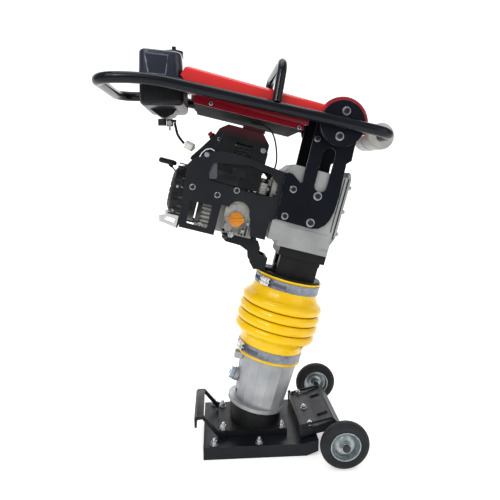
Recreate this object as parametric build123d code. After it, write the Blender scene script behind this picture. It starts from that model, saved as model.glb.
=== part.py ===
"""Jumping jack rammer: foot, sprung stem, gearbox, engine, guards, handle, tank and wheels.

Row frame: +Z up from the floor, +X forward (transport wheels), +Y to the operator's left.
The origin is the middle of the sole's underside. Most parts above the foot are drawn in the
stem frame (x forward and square to the stem, y left, z up along the stem) and then tilted.
"""
from build123d import *
import math
import os

# ---- driving dimensions, mm and degrees ----
LEAN = 14.5            # stem leans forward from the vertical
STEM_X = -36.0         # where the stem's axis meets the floor
SOLE_W, SOLE_H, FLANGE_H = 285.0, 38.0, 20.0
SOLE_REAR, SOLE_FLAT, SOLE_TIP = -170.0, 135.0, 170.0
WHEEL_R, WHEEL_W, TRACK = 70.5, 36.0, 416.0
AXLE_X, AXLE_Z, AXLE_R = 230.0, 70.7, 8.0
TUBE_R, TUBE_IN = 14.5, 12.0   # handle tube
RAIL_Y = 166.0
REAR_X, REAR_Z, FRONT_X, FRONT_Z = -424.0, 1066.0, 346.0, 929.0
KNEE_X = -290.0        # where the rails turn from level to sloping
BASE_S, BARREL_TOP = 113.0, 276.0      # along the stem
BORE_R, TUBE58, GUIDE_R = 70.0, 58.0, 66.0
CUFF_R, BAND_R = 99.0, 100.5
CASE_Y = 86.0
GEAR_M, PINION_Z, BULL_Z = 2.5, 14, 42
SHAFT_S = 705.0
CRANK_S = SHAFT_S + GEAR_M * (PINION_Z + BULL_Z) / 2
THROW, ROD_LEN = 30.0, 75.0
PIVOT_T, PIVOT_S = 3.6, 989.0          # handle's rubber mounts
DISC_R, HOOD_R, HOOD_Y = 60.0, 70.0, 142.0
THROTTLE_X, CAP_X = -120.0, -238.0
TANK_REAR, TANK_FRONT, TANK_Y, SEAM_Z = -320.0, -202.0, 128.0, 1072.0
# the fuel hose's route, tap to filter
FUEL = [(-236.5, -10, 969), (-233, -13.5, 951), (-227, -26, 930), (-211, -38, 912)]
RUN = 0.05             # radial running clearance

STEM = Location((STEM_X, 0, 0), (0, LEAN, 0))
os.makedirs("parts", exist_ok=True)


def save(name, *solids):
    parts = []
    for item in solids:
        parts.extend(item.solids())
    export_step(Compound(children=parts), f"parts/{name}.step")
    print(name, len(parts), round(sum(s.volume for s in parts)))


def stem(shape):
    return STEM * shape


def box(x0, x1, y0, y1, z0, z1):
    return Pos((x0 + x1) / 2, (y0 + y1) / 2, (z0 + z1) / 2) * Box(x1 - x0, y1 - y0, z1 - z0)


def rod(p, q, r):
    """Round bar from p to q."""
    a, b = Vector(*p), Vector(*q)
    low = (Align.CENTER, Align.CENTER, Align.MIN)
    return Plane(origin=a, z_dir=(b - a)) * Cylinder(r, (b - a).length, align=low)


def ring(p, q, r_out, r_in):
    return rod(p, q, r_out) - rod(p, q, r_in)


def plate(points, y0, y1, rounded=0):
    """A side profile in x, z, thick from y0 to y1."""
    face = make_face(Polyline(*[(x, y0, z) for x, z in points], close=True))
    if rounded:
        face = fillet(face.vertices(), rounded)
    return extrude(face, amount=y1 - y0, dir=(0, 1, 0))


def tube(path, r_out, r_in):
    start = Plane(origin=path @ 0, z_dir=path % 0)
    outer = sweep(start * Circle(r_out), path=path)
    return outer - sweep(start * Circle(r_in), path=path)


def cord(path, r):
    return sweep(Plane(origin=path @ 0, z_dir=path % 0) * Circle(r), path=path)


def hose_path(points):
    """Straight runs joined by tangent arcs, each as wide as its shorter run lets it be."""
    pts = [Vector(*p) for p in points]
    radii = []
    for a, b, c in zip(pts, pts[1:], pts[2:]):
        turn = (b - a).get_angle(c - b)
        radii.append(0.45 * min((b - a).length, (c - b).length) / math.tan(math.radians(turn / 2)))
    length = sum((b - a).length for a, b in zip(pts, pts[1:]))
    print("  hose radii", [round(r) for r in radii], "chord length", round(length))
    return FilletPolyline(*pts, radius=radii)


def hex_bolt(at, axis, across, head, shank=0.0, shank_r=4.0):
    """Hex head standing on `at` along `axis`, with a washer and an optional stub of shank."""
    base = Plane(origin=at, z_dir=axis)
    washer = Cylinder(across * 0.68, 2, align=(Align.CENTER, Align.CENTER, Align.MIN))
    prism = Pos(0, 0, 2) * extrude(RegularPolygon(across / 2, 6, major_radius=False), amount=head)
    out = washer + prism
    if shank:
        low = (Align.CENTER, Align.CENTER, Align.MIN)
        out += Pos(0, 0, 2 + head) * Cylinder(shank_r, shank, align=low)
    return base * out


def gear(teeth, x0, x1, backlash=0.16):
    """Involute spur gear about the x axis, a tooth space or tooth at +z as its count gives."""
    pitch_r = GEAR_M * teeth / 2
    base_r = pitch_r * math.cos(math.radians(20))
    tip_r, root_r = pitch_r + GEAR_M, pitch_r - 1.25 * GEAR_M
    inv20 = math.tan(math.radians(20)) - math.radians(20)
    half = math.pi / (2 * teeth) - backlash / 2 / pitch_r
    flank = []
    for i in range(5):
        r = max(base_r, root_r) + (tip_r - max(base_r, root_r)) * i / 4
        a = math.acos(min(1, base_r / r))
        flank.append((r, half + inv20 - (math.tan(a) - a)))
    outline = []
    for k in range(teeth):
        mid = 2 * math.pi * k / teeth
        left = [(root_r, mid - flank[0][1])] + [(r, mid - w) for r, w in flank]
        right = [(r, mid + w) for r, w in reversed(flank)] + [(root_r, mid + flank[0][1])]
        if root_r > base_r:
            left, right = left[1:], right[:-1]
        outline += [(x0, r * math.sin(a), r * math.cos(a)) for r, a in left + right]
    return extrude(make_face(Polyline(*outline, close=True)), amount=x1 - x0, dir=(1, 0, 0))


# ---- foot ----
def make_foot():
    side = [(SOLE_REAR, 0), (SOLE_FLAT, 0), (SOLE_TIP, 14)]
    side += [(SOLE_TIP, 50), (126, SOLE_H), (SOLE_REAR, SOLE_H)]
    half = SOLE_W / 2
    save("sole", plate(side, -half, half))
    studs = [(-138, -125), (-138, 125), (-5, -125), (-5, 125)]
    top = SOLE_H + FLANGE_H
    foot = box(-124, 84, -86, 86, SOLE_H, top)
    collar = rod((-7.5, 0, top), (-7.5, 0, 150), 79.5)
    above = stem(box(-200, 200, -200, 200, BASE_S, BASE_S + 200))
    collar -= above
    bore = rod((-7.5, 0, top), (-7.5, 0, 150), 66)
    save("foot_flange", foot + (collar - bore))
    nuts = [hex_bolt((x, y, SOLE_H), (0, 0, 1), 17, 9, 9, 5) for x, y in studs]
    nuts += [hex_bolt((x, y, top), (0, 0, 1), 17, 9, 9, 5) for x in (-110, 68) for y in (-73, 73)]
    nuts += [hex_bolt((150, y, 78.2), (-7, 0, 54), 15, 7, 4, 4) for y in (-103, 0, 103)]
    save("foot_nuts", *nuts)
    bar = [(-197, 106), (-190, 112), (-168, 112), (-130, 66), (-106, 56), (-106, SOLE_H + 0.05)]
    bar += [(-124, SOLE_H + 0.05), (-138, 57), (-173, 102), (-197, 98)]
    arms = [plate(bar, y, y + 8) for y in (-94.05, 86.05)]
    grip = plate([(-197, 72), (-190, 72), (-190, 112), (-197, 106)], -88, 88)
    save("rear_handle", arms[0] + arms[1] + grip + box(-190, -183, -88, 88, 106, 112))


def make_barrel():
    side_count = 16
    low = Plane((9, 0, BASE_S + 12)) * RegularPolygon(78, side_count)
    high = Plane((4, 0, BARREL_TOP)) * RegularPolygon(91, side_count)
    body = loft([low, high])
    body += rod((0, 0, BASE_S), (0, 0, BASE_S + 12), 88)
    body += rod((0, 0, BARREL_TOP), (0, 0, 312), CUFF_R - 3.6)
    body += box(-104, -80, -34, -8, 252, 272)
    body -= rod((0, 0, 137), (0, 0, 320), BORE_R)
    body += rod((-88, 0, 190), (-74, 0, 188), 21) - rod((0, 0, 137), (0, 0, 320), BORE_R)
    body -= rod((-110, 0, 193.2), (-60, 0, 186), 12.5)
    save("lower_cylinder", stem(body))
    bezel = ring((-89.5, 0, 190.2), (-101, 0, 191.9), 19, 8)
    glass = rod((-90, 0, 190.3), (-99, 0, 191.6), 7.95)
    save("sight_glass", stem(bezel), stem(glass))
    tall = ring((0, 0, 137), (0, 0, 548), TUBE58, 52)
    gland = ring((0, 0, 548), (0, 0, 560), TUBE58, 12.5 + RUN)
    save("spring_cylinder", stem(tall), stem(gland))


def make_bellows():
    folds = [(335, 106), (357, 124.5), (377, 114), (392, 126.5), (408, 114.5), (422, 126), (437, 113)]
    folds += [(455, 123.5), (474, 109)]
    thick = CUFF_R - 3.2
    outer = [(CUFF_R, 314)] + [(r, z) for z, r in folds] + [(CUFF_R, 497)]
    upright = ((0, 0, 1), (0, 0, 1))
    curve = Spline(*[(r, 0, z) for r, z in outer], tangents=upright)
    inner = Spline(*[(r - 3.2, 0, z) for r, z in outer], tangents=upright)
    ends = []
    for near, far in ((314, 277), (497, 534)):
        ends.append(Line((CUFF_R, 0, near), (CUFF_R, 0, far)))
        ends.append(Line((CUFF_R, 0, far), (thick, 0, far)))
        ends.append(Line((thick, 0, far), (thick, 0, near)))
    body = revolve(make_face([curve, inner] + ends), axis=Axis.Z)
    for low in (277, 529):
        body += ring((0, 0, low), (0, 0, low + 5), CUFF_R + 2.5, thick)
    save("bellows", stem(body))
    for name, low, high, angle in (("lower_clamp", 285, 311, 24), ("upper_clamp", 499, 526, 42)):
        band = ring((0, 0, low), (0, 0, high), BAND_R, CUFF_R)
        mid = (low + high) / 2
        turn = Rot(0, 0, angle)
        lug = box(-116, -99.6, -13, 13, mid - 11, mid + 11) - rod((0, 0, low), (0, 0, high), BAND_R)
        holes = rod((-108, -14, mid - 5.5), (-108, 14, mid - 5.5), 2.6)
        holes += rod((-108, -14, mid + 5.5), (-108, 14, mid + 5.5), 2.6)
        screws = []
        for rise in (-5.5, 5.5):
            z = mid + rise
            screw = rod((-108, -14, z), (-108, 17, z), 2.5) + rod((-108, -19, z), (-108, -13, z), 5)
            screws.append(turn * screw)
        save(name, stem(turn * (band + lug - holes)), *[stem(s) for s in screws])


def make_ram():
    body = rod((0, 0, 331), (0, 0, 349), 52 - RUN)
    body += rod((0, 0, 349), (0, 0, 632), 12.5)
    body += box(-21, 21, -14, 14, 632, 651) - rod((-30, 0, 670), (30, 0, 670), 18)
    for x0, x1 in ((-21, -13), (13, 21)):
        body += box(x0, x1, -14, 14, 651, 670) + rod((x0, 0, 670), (x1, 0, 670), 14)
    body -= rod((-30, 0, 670), (30, 0, 670), 8.1)
    body -= box(-13, 13, -20, 20, 651, 690)
    save("ram_piston", stem(body))
    wire, coil = 5.0, 38.0
    springs = []
    for low, high, turns in ((137.2, 330.8, 6.5), (349.2, 547.8, 7)):
        rise = high - low - 2 * wire
        path = Helix(pitch=rise / turns, height=rise, radius=coil)
        section = Plane(origin=path @ 0, z_dir=path % 0) * Circle(wire)
        wound = Pos(0, 0, low + wire) * sweep(section, path=path, is_frenet=True)
        springs.append(stem(wound))
    save("ram_springs", *springs)


def make_guide():
    flange = rod((0, 0, 520), (0, 0, 540), CUFF_R - 3.6)
    body = box(-50, 58, -58, 58, 540, 598) + flange
    body += box(-61, 79, -70, 70, 598, 625)
    for y in (-62, -24, 18, 58):
        body += box(-48, 66, y, y + 6, 538, 600)
    body += box(50, 72, -50, 50, 584, 600)
    body += rod((0, 0, 300), (0, 0, 545), GUIDE_R)
    body -= rod((0, 0, 290), (0, 0, 640), TUBE58 + RUN)
    save("guide_cylinder", stem(body))
    arm = [(-231, 606), (-217, 596), (-172, 594), (-142, 581), (-134, 553), (-118, 535)]
    arm += [(-84, 541), (-84, 576), (-113, 582), (-113, 600), (-124, 619.5)]
    arm += [(-150, 621.5), (-231, 621.5)]
    strut = plate(arm, -46, -40) + plate(arm, 40, 46) + box(-231, -152, -40, 40, 615.5, 621.5)
    strut += box(-118, -84, -40, 40, 541, 547)
    strut += box(-84, -49.9, -30, 30, 541, 547)
    strut += box(-90, -84, -46, 46, 541, 576)
    strut -= rod((0, 0, 500), (0, 0, 700), GUIDE_R)
    strut -= box(-50, 58, -58, 58, 540, 598)
    save("engine_strut", stem(strut))


def make_case():
    prof = [(-105, 638), (-76, 638), (-76, 625), (75, 625), (75, 858), (-83, 858), (-105, 834)]
    body = plate(prof, -CASE_Y, CASE_Y)
    body -= box(-40, 71, -76, 76, 640, 846) + box(70, 80, -76, 76, 662, 846)
    body -= rod((0, 0, 620), (0, 0, 645), 50)
    body -= rod((-110, 0, SHAFT_S), (-75, 0, SHAFT_S), 46)
    body -= rod((-80, 0, SHAFT_S), (-30, 0, SHAFT_S), 17.5)
    body -= rod((-70, 0, CRANK_S), (-30, 0, CRANK_S), 26)
    save("gearcase", stem(body))
    cover = plate([(75, 655), (86, 682), (86, 858), (80, 872), (75, 874)], -80, 80)
    for y in range(-60, 61, 20):
        cover += box(85, 90, y - 2.5, y + 2.5, 684, 850)
    cover += ring((86, 0, CRANK_S), (93, 0, CRANK_S), 38, 30)
    save("gearcase_cover", stem(cover))
    bearings = [ring((-73, 0, SHAFT_S), (-42, 0, SHAFT_S), 17.5, 10 + RUN)]
    bearings += [ring((-70, 0, CRANK_S), (-42, 0, CRANK_S), 26, 14 + RUN)]
    bearings += [ring((-318, 0, SHAFT_S), (-300, 0, SHAFT_S), 14, 10 + RUN)]
    bearings += [ring((-168, 0, SHAFT_S), (-150, 0, SHAFT_S), 14, 10 + RUN)]
    save("shaft_bearings", *[stem(b) for b in bearings])


def make_train():
    """Drawn with the crank pin at bottom dead centre."""
    place = Pos(0, 0, CRANK_S)
    bull = gear(BULL_Z, -38, -18) + rod((-68, 0, 0), (-38, 0, 0), 14)
    bull += rod((-18, 0, -THROW), (13, 0, -THROW), 10) + rod((-41, 0, 0), (-38, 0, 0), 20)
    for a in range(0, 360, 60):
        y, z = 36 * math.sin(math.radians(a)), 36 * math.cos(math.radians(a))
        if a != 180:
            bull -= rod((-50, y, z), (0, y, z), 7)
    save("bull_gear", stem(place * bull))
    pinion = Pos(0, 0, SHAFT_S) * (Rot(180.0 / PINION_Z, 0, 0) * gear(PINION_Z, -38, -18))
    pinion += rod((-82, 0, SHAFT_S), (-38, 0, SHAFT_S), 10)
    drum = ring((-101, 0, SHAFT_S), (-82, 0, SHAFT_S), 41, 38)
    drum += rod((-82, 0, SHAFT_S), (-79, 0, SHAFT_S), 41)
    save("pinion_shaft", stem(pinion), stem(drum - rod((-90, 0, SHAFT_S), (-70, 0, SHAFT_S), 10)))
    big, small = CRANK_S - THROW, CRANK_S - THROW - ROD_LEN
    con = rod((-9, 0, big), (9, 0, big), 19) + rod((-9, 0, small), (9, 0, small), 15)
    con += box(-5, 5, -8, 8, small + 8, big - 8)
    con -= rod((-20, 0, big), (20, 0, big), 10 + RUN)
    con -= rod((-20, 0, small), (20, 0, small), 8)
    save("connecting_rod", stem(con), stem(rod((-12.6, 0, small), (12.6, 0, small), 8)))


# ---- engine ----
def cowl_slope(out):
    """The stop switch's place on the cowl's sloping face, moved outwards by out mm."""
    return (-321.9 - 0.823 * out, -58, 875.0 + 0.568 * out)


def make_engine():
    s = SHAFT_S
    body = box(-318, -150, -62, 62, 622, 738)
    for k in range(5):
        body -= box(-320, -268, -70, 70, 632 + 12 * k, 637 + 12 * k)
    body += rod((-200, -80, 684), (-200, -62, 684), 42) + rod((-200, 62, 684), (-200, 80, 684), 42)
    body += ring((-150, 0, s), (-105.05, 0, s), 56, 46)
    body -= rod((-330, 0, s), (-140, 0, s), 14)
    body -= rod((-205, -90, 669), (-205, -60, 669), 9)
    save("engine_block", stem(body))
    barrel = box(-250, -188, -32, 32, 738, 826)
    for k in range(8):
        z = 744 + 10 * k
        barrel += box(-264, -174, -44, 44, z, z + 3.5)
    head = box(-262, -176, -42, 42, 826, 842) + box(-252, -186, -34, 34, 842, 872)
    save("engine_cylinder", stem(barrel), stem(head))
    cowl = [(-312, 757), (-322, 787), (-347, 793), (-368, 801), (-367, 808), (-347, 836), (-316, 883)]
    cowl += [(-309, 901), (-288, 917), (-190, 918), (-165, 890), (-165, 757)]
    hollow = [(-308, 750), (-317, 791), (-345, 797), (-361, 804), (-362, 808), (-343, 834), (-312, 881)]
    hollow += [(-305, 899), (-286, 913), (-192, 914), (-169, 888), (-169, 750)]
    outer = plate(cowl, -83, 83)
    inner = plate(hollow, -79, 79)
    shell = outer - inner + box(-247, -185, -80, -20, 917, 927)
    for k in range(4):
        shell -= box(-255, -208, -90, -70, 846 + 9 * k, 850.5 + 9 * k)
        shell -= box(-255, -208, 70, 90, 846 + 9 * k, 850.5 + 9 * k)
    shell -= rod((-180, -22, 782), (-160, -22, 782), 15)
    shell -= rod((-325, 0, 775), (-300, 0, 775), 8)
    shell -= rod((-240, 60, 780), (-240, 90, 780), 13)
    save("engine_shroud", stem(shell))
    muffler = box(-296, -200, 48, 76, 768, 846) - box(-293, -203, 51, 73, 771, 843)
    muffler += ring((-240, 76, 780), (-240, 104, 780), 11, 9) - box(-293, -203, 51, 73, 771, 843)
    save("muffler", stem(muffler))
    carb = box(-158, -128, -44, 0, 766, 800) + rod((-143, -22, 761.5), (-143, -22, 766), 17)
    carb += rod((-174, -22, 782), (-158, -22, 782), 12)
    carb -= rod((-180, -22, 782), (-120, -22, 782), 8)
    cleaner = box(-126.5, -112, -60, 16, 762.5, 824)
    save("carburettor", stem(carb), stem(cleaner + rod((-128, -22, 782), (-126.5, -22, 782), 11)))
    plug = rod((-236, -42.5, 834), (-236, -66, 834), 9)
    wall = [(-325, 0, 74), (-325, 0, 78), (-376, 0, 78), (-398, 0, 68), (-407, 0, 52), (-407, 0, 0)]
    wall += [(-403, 0, 0), (-403, 0, 50), (-394, 0, 65), (-374, 0, 74)]
    shell = revolve(make_face(Polyline(*wall, close=True)), axis=Axis.X)
    for a in range(0, 360, 20):
        shell -= Rot(a, 0, 0) * box(-415, -392, -3, 3, 22, 60)
        shell += Rot(a + 10, 0, 0) * box(-398, -350, -2, 2, 77, 80)
    shell = Pos(0, 0, s) * shell
    shell -= rod((-384, 0, 741), (-430, 0, 775.5), 4.5)
    save("recoil_housing", stem(shell))
    disc = rod((-366, 0, s), (-340, 0, s), 60)
    for a in range(0, 360, 30):
        blade = Pos(0, 0, s) * (Rot(a, 0, 0) * box(-374, -366, -2, 2, 24, 58))
        disc += blade
    disc -= rod((-370, 0, s), (-330, 0, s), 10)
    save("flywheel_fan", stem(disc))
    shoes = ring((-100, 0, s), (-85, 0, s), 36.5, 10) - box(-120, -80, -3, 3, s + 14, s + 50)
    shoes -= box(-120, -80, -3, 3, s - 50, s - 14)
    save("engine_shaft", stem(rod((-372, 0, s), (-84, 0, s), 10)), *[stem(part) for part in shoes.solids()])
    cap = rod((-205, -80.3, 669), (-205, -94, 669), 20) + rod((-205, -94, 669), (-205, -98, 669), 13)
    cap += box(-227, -183, -97, -92, 664, 674) + rod((-205, -66, 669), (-205, -80.3, 669), 8.9)
    save("oil_filler_cap", stem(cap))
    seat = rod(cowl_slope(0.3), cowl_slope(6), 9.5) - rod(cowl_slope(1.2), cowl_slope(8), 7.2)
    save("ignition_parts", stem(plug), stem(seat))
    save("stop_switch_knob", stem(rod(cowl_slope(5.4), cowl_slope(15), 7)))
    boss = ring((-143, -44.3, 790), (-143, -47.3, 790), 6, 0.1)
    save("choke_lever", stem(boss + box(-146, -140, -47.3, -44.3, 794, 812)))


def make_starter():
    grip = Pos(-433, 0, 778) * Box(52, 22, 15)
    grip = fillet(grip.edges(), 6)
    save("starter_grip", stem(grip + rod((-426, 0, 772.5), (-416, 0, 765), 6)))
    rope = rod((-416, 0, 765), (-402, 0, 754.5), 2)
    save("starter_rope", stem(rope))


# ---- plates ----
def make_plates():
    foot = [(-103, 825), (-96, 698), (8, 695), (28, 700), (43, 713), (53, 731), (59, 758)]
    foot += [(61, 800), (58, 850), (56, 894), (68, 906), (66, 940)]
    foot += [(66, 985), (-54, 985), (-51, 815), (-56, 812), (-82, 831), (-94, 832)]
    holes = [(-71, 790), (1, 788), (-75, 712), (1, 711)]
    pair = []
    for side in (-1, 1):
        y0, y1 = sorted((side * 90, side * 96))
        body = plate(foot, y0, y1) + rod((PIVOT_T, y0, PIVOT_S), (PIVOT_T, y1, PIVOT_S), 56)
        body -= box(-16, 20, y0, y1, 818, 908)
        body -= rod((2, y0, 818), (2, y1, 818), 18) + rod((2, y0, 908), (2, y1, 908), 18)
        pair.append(stem(body))
    save("mount_plates", *pair)
    bolts = []
    for side in (-1, 1):
        for (x, z), r in zip(holes, (15, 18, 15, 18)):
            bolts.append(hex_bolt((x, side * 96, z), (0, side, 0), r, 6))
        bolts.append(hex_bolt((-42, side * 96, 940), (0, side, 0), 13, 6))
    guard = [(-356, 611), (-256, 611), (-255, 699), (-176, 699), (-164, 672), (-156, 632)]
    guard += [(-112, 632), (-112, 690), (-98, 697), (-60, 698), (-60, 812), (-90, 828)]
    guard += [(-163, 836), (-236, 845), (-292, 842), (-331, 826), (-363, 798), (-373, 782), (-360, 650)]
    big = [(-306, 757), (-311, 770), (-303, 806), (-203, 824), (-142, 814), (-112, 788)]
    big += [(-114, 757), (-160, 749), (-184, 751), (-237, 755)]
    low = [(-342, 690), (-279, 690), (-279, 625), (-338, 627)]
    guards, spacers = [], []
    for side in (-1, 1):
        y0, y1 = sorted((side * CASE_Y, side * 90))
        body = plate(guard, y0, y1) - plate(big, -200, 200, 4) - plate(low, -200, 200, 4)
        tail = plate([(-360, 606), (-350, 640), (-392, 640), (-416, 630), (-412, 614)], y0, y1)
        body -= rod((-203, y0, 690), (-203, y1, 690), 31)
        tail -= plate([(-372, 618), (-370, 632), (-394, 631), (-400, 622)], -200, 200)
        guards.append(stem(body + tail))
        spacers.append(rod((-272, side * 62, 723), (-272, side * CASE_Y, 723), 9))
    save("guard_plates", *guards)
    bolts += spacers
    for side in (-1, 1):
        for x, z in ((-344, 728), (-272, 723), (-223, 748)):
            bolts.append(hex_bolt((x, side * 90, z), (0, side, 0), 13, 5))
    for s in (696, 762, 832):
        bolts += [hex_bolt((86, y, s), (1, 0, 0), 12, 6) for y in (-71, 71)]
    bolts += [hex_bolt((x, -83, z), (0, -1, 0), 8, 4) for x, z in ((-178, 872), (-303, 872))]
    bolts += [hex_bolt((-232, -62, 630), (0, -1, 0), 12, 7)]
    save("upper_bolts", *[stem(b) for b in bolts])
    buffers = []
    for side in (-1, 1):
        waist = ring((PIVOT_T, side * 108, PIVOT_S), (PIVOT_T, side * 134, PIVOT_S), 60, 47)
        buffers.append(rod((PIVOT_T, side * 96, PIVOT_S), (PIVOT_T, side * 145.2, PIVOT_S), 52) - waist)
    save("rubber_mounts", *[stem(b) for b in buffers])


# ---- handle ----
def slope_point(x):
    """A point on the rails' sloping centre line."""
    part = (x - KNEE_X) / (FRONT_X - KNEE_X)
    return (x, REAR_Z + part * (FRONT_Z - REAR_Z))


def make_handle():
    join_x, corner = -360.0, 58.0
    fx, fz = slope_point(296)
    rails = []
    for y in (-RAIL_Y, RAIL_Y):
        path = FilletPolyline((join_x, y, REAR_Z), (KNEE_X, y, REAR_Z), (fx, y, fz), radius=600)
        rails.append(tube(path, TUBE_R, TUBE_IN))
    rear = FilletPolyline((join_x, -RAIL_Y, REAR_Z), (REAR_X, -RAIL_Y, REAR_Z), (REAR_X, RAIL_Y, REAR_Z),
                          (join_x, RAIL_Y, REAR_Z), radius=corner)
    front = FilletPolyline((fx, -RAIL_Y, fz), (FRONT_X, -RAIL_Y, FRONT_Z), (FRONT_X, RAIL_Y, FRONT_Z),
                           (fx, RAIL_Y, fz), radius=44)
    save("handle_frame", *rails, tube(rear, TUBE_R, TUBE_IN), tube(front, TUBE_R, TUBE_IN))
    hx, hz = slope_point(36)
    inward, start = RAIL_Y - 14, hz + TUBE_R - 2
    hoop = FilletPolyline((hx, -RAIL_Y, start), (56, -inward, hz + 118), (56, inward, hz + 118),
                          (hx, RAIL_Y, start), radius=44)
    legs = cord(hoop, 12.5)
    behind, ahead = slope_point(hx - 80), slope_point(hx + 80)
    for y in (-RAIL_Y, RAIL_Y):
        legs -= rod((behind[0], y, behind[1]), (ahead[0], y, ahead[1]), TUBE_R)
    save("lifting_hoop", legs)
    roll = rod((FRONT_X, -73, FRONT_Z), (FRONT_X, 73, FRONT_Z), 37)
    roll -= ring((FRONT_X, -4, FRONT_Z), (FRONT_X, 4, FRONT_Z), 60, 31)
    roll -= rod((FRONT_X, -80, FRONT_Z), (FRONT_X, 80, FRONT_Z), TUBE_R + RUN)
    save("front_roller", roll)
    lugs = []
    for x, z in ((-306, REAR_Z - 2), (-222, slope_point(-222)[1])):
        lugs += [box(x - 12, x + 12, *sorted((s * 128.3, s * 151.3)), z - 3, z + 2) for s in (-1, 1)]
    lever_x = THROTTLE_X
    z = slope_point(lever_x)[1]
    fall = z - slope_point(lever_x + 9)[1]
    clip = ring((lever_x - 9, RAIL_Y, z + fall), (lever_x + 9, RAIL_Y, z - fall), TUBE_R + 4, TUBE_R + RUN)
    clip += box(lever_x - 8, lever_x + 8, RAIL_Y + 17, RAIL_Y + 26, z - 8, z + 8)
    discs = [rod((PIVOT_T, s * 151.4, PIVOT_S), (PIVOT_T, s * 145.5, PIVOT_S), DISC_R) for s in (-1, 1)]
    save("handle_plates", *[stem(d) for d in discs], *lugs, clip)
    bolts = []
    for side in (-1, 1):
        for ds in (-34, 33):
            bolts.append(hex_bolt((PIVOT_T, side * 151.4, PIVOT_S + ds), (0, side, 0), 17, 6))
    bolts += [hex_bolt((x, s * 138.9, 951), (0, s, 0), 8, 1.0) for x in (-345, -105) for s in (-1, 1)]
    save("handle_bolts", *[stem(b) for b in bolts])


def long_top_edges(body, top):
    """The two long edges of a hood's upper side."""
    lines = [e for e in body.edges().filter_by(GeomType.LINE) if e.length > 300]
    return [e for e in lines if e.center().Z > top - 1 and abs(e.center().Y) > 137]


def make_hood():
    low, top = 961.0, 1029.0
    side = [(-393, low), (-437, 1000), (-430, 1021), (-421, top), (PIVOT_T, top), (PIVOT_T, low)]
    outer = plate(side, -HOOD_Y, HOOD_Y)
    outer += rod((PIVOT_T, -HOOD_Y, PIVOT_S), (PIVOT_T, HOOD_Y, PIVOT_S), HOOD_R)
    outer -= box(-84, 120, -200, 200, 900, 976)
    hollow = [(-382, 950), (-433, 1000), (-427, 1020), (-419, top - 3)]
    inner = plate(hollow + [(PIVOT_T, top - 3), (PIVOT_T, 950)], -139, 139)
    inner += rod((PIVOT_T, -139, PIVOT_S), (PIVOT_T, 139, PIVOT_S), HOOD_R - 3)
    inner += box(-100, 60, -139, 139, 930, 990)
    outer = fillet(long_top_edges(outer, top), 16)
    inner = fillet(long_top_edges(inner, top - 3), 13)
    shell = outer - inner
    shell -= rod((PIVOT_T, -200, PIVOT_S), (PIVOT_T, 200, PIVOT_S), 56)
    save("handle_hood", stem(shell) - box(-330, -198, -131, 131, 950, 1200))
    pan = plate([(-389, 941), (-93, 947), (-93, 961), (-389, 961)], -138.9, 138.9)
    pan -= plate([(-386, 944), (-96, 950), (-96, 970), (-386, 970)], -136, 136)
    save("hood_underplate", stem(pan))


def tank_lower(z0, z1, inset, r):
    """A block inside the tank's outline, its uprights rounded."""
    x0, x1, y = TANK_REAR + inset, TANK_FRONT - inset, TANK_Y - inset
    return fillet(box(x0, x1, -y, y, z0, z1).edges().filter_by(Axis.Z), r)


def tank_dome(inset, r):
    """The tank's upper half, whose top falls a little towards the front."""
    x0, x1, y = TANK_REAR + inset, TANK_FRONT - inset, TANK_Y - inset
    side = [(x0, SEAM_Z - inset), (x0 + 4, 1148 - inset), (x1 - 4, 1138 - inset), (x1, SEAM_Z - inset)]
    body = plate(side, -y, y)
    return fillet([e for e in body.edges() if abs((e % 0.5).Z) > 0.9], r)


def make_tank():
    half, seam = TANK_Y, SEAM_Z
    upper = tank_dome(0, 24)
    upper = fillet(upper.faces().sort_by(Axis.Z)[-1].edges(), 10)
    upper += rod((CAP_X, 0, 1120), (CAP_X, 0, 1145), 26)
    upper -= tank_dome(4, 20)
    upper -= rod((CAP_X, 0, 1100), (CAP_X, 0, 1150), 22)
    panel = [(-292, 1084), (-300, 1134), (-240, 1128), (-248, 1080)]
    for side in (-1, 1):
        y0, y1 = sorted((side * (half - 3), side * (half + 5)))
        upper -= plate(panel, y0, y1)
    lower = tank_lower(1004, seam, 1, 23)
    lower = fillet(lower.faces().sort_by(Axis.Z)[0].edges(), 14)
    lower -= tank_lower(1008, seam + 1, 5, 19)
    sump = [(-304, 1007), (-298, 1002), (-276, 985), (-262, 980), (-238, 990), (-228, 1002), (-228, 1007)]
    lower += plate(sump, -45, 45) - tank_lower(1008, seam + 1, 5, 19)
    save("tank_upper", upper)
    save("tank_lower", lower)
    cap = rod((CAP_X, 0, 1145.3), (CAP_X, 0, 1164), 30) + rod((CAP_X, 0, 1132), (CAP_X, 0, 1145.3), 21.9)
    save("fuel_cap", cap + rod((CAP_X + 4, 0, 1164), (CAP_X + 4, 0, 1178), 6))
    tap = rod((-250, -10, 960), (-250, -10, 979), 9) + rod((-250, -10, 974.5), (-232, -10, 974.5), 4.2)
    hub = rod((-250, -19.3, 968), (-250, -24, 968), 7)
    save("fuel_tap_lever", hub + box(-253, -247, -24, -20.5, 947, 968))
    bowl = rod((-272, -10, 962), (-272, -10, 979.9), 12)
    save("fuel_tap", tap, bowl)


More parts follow.
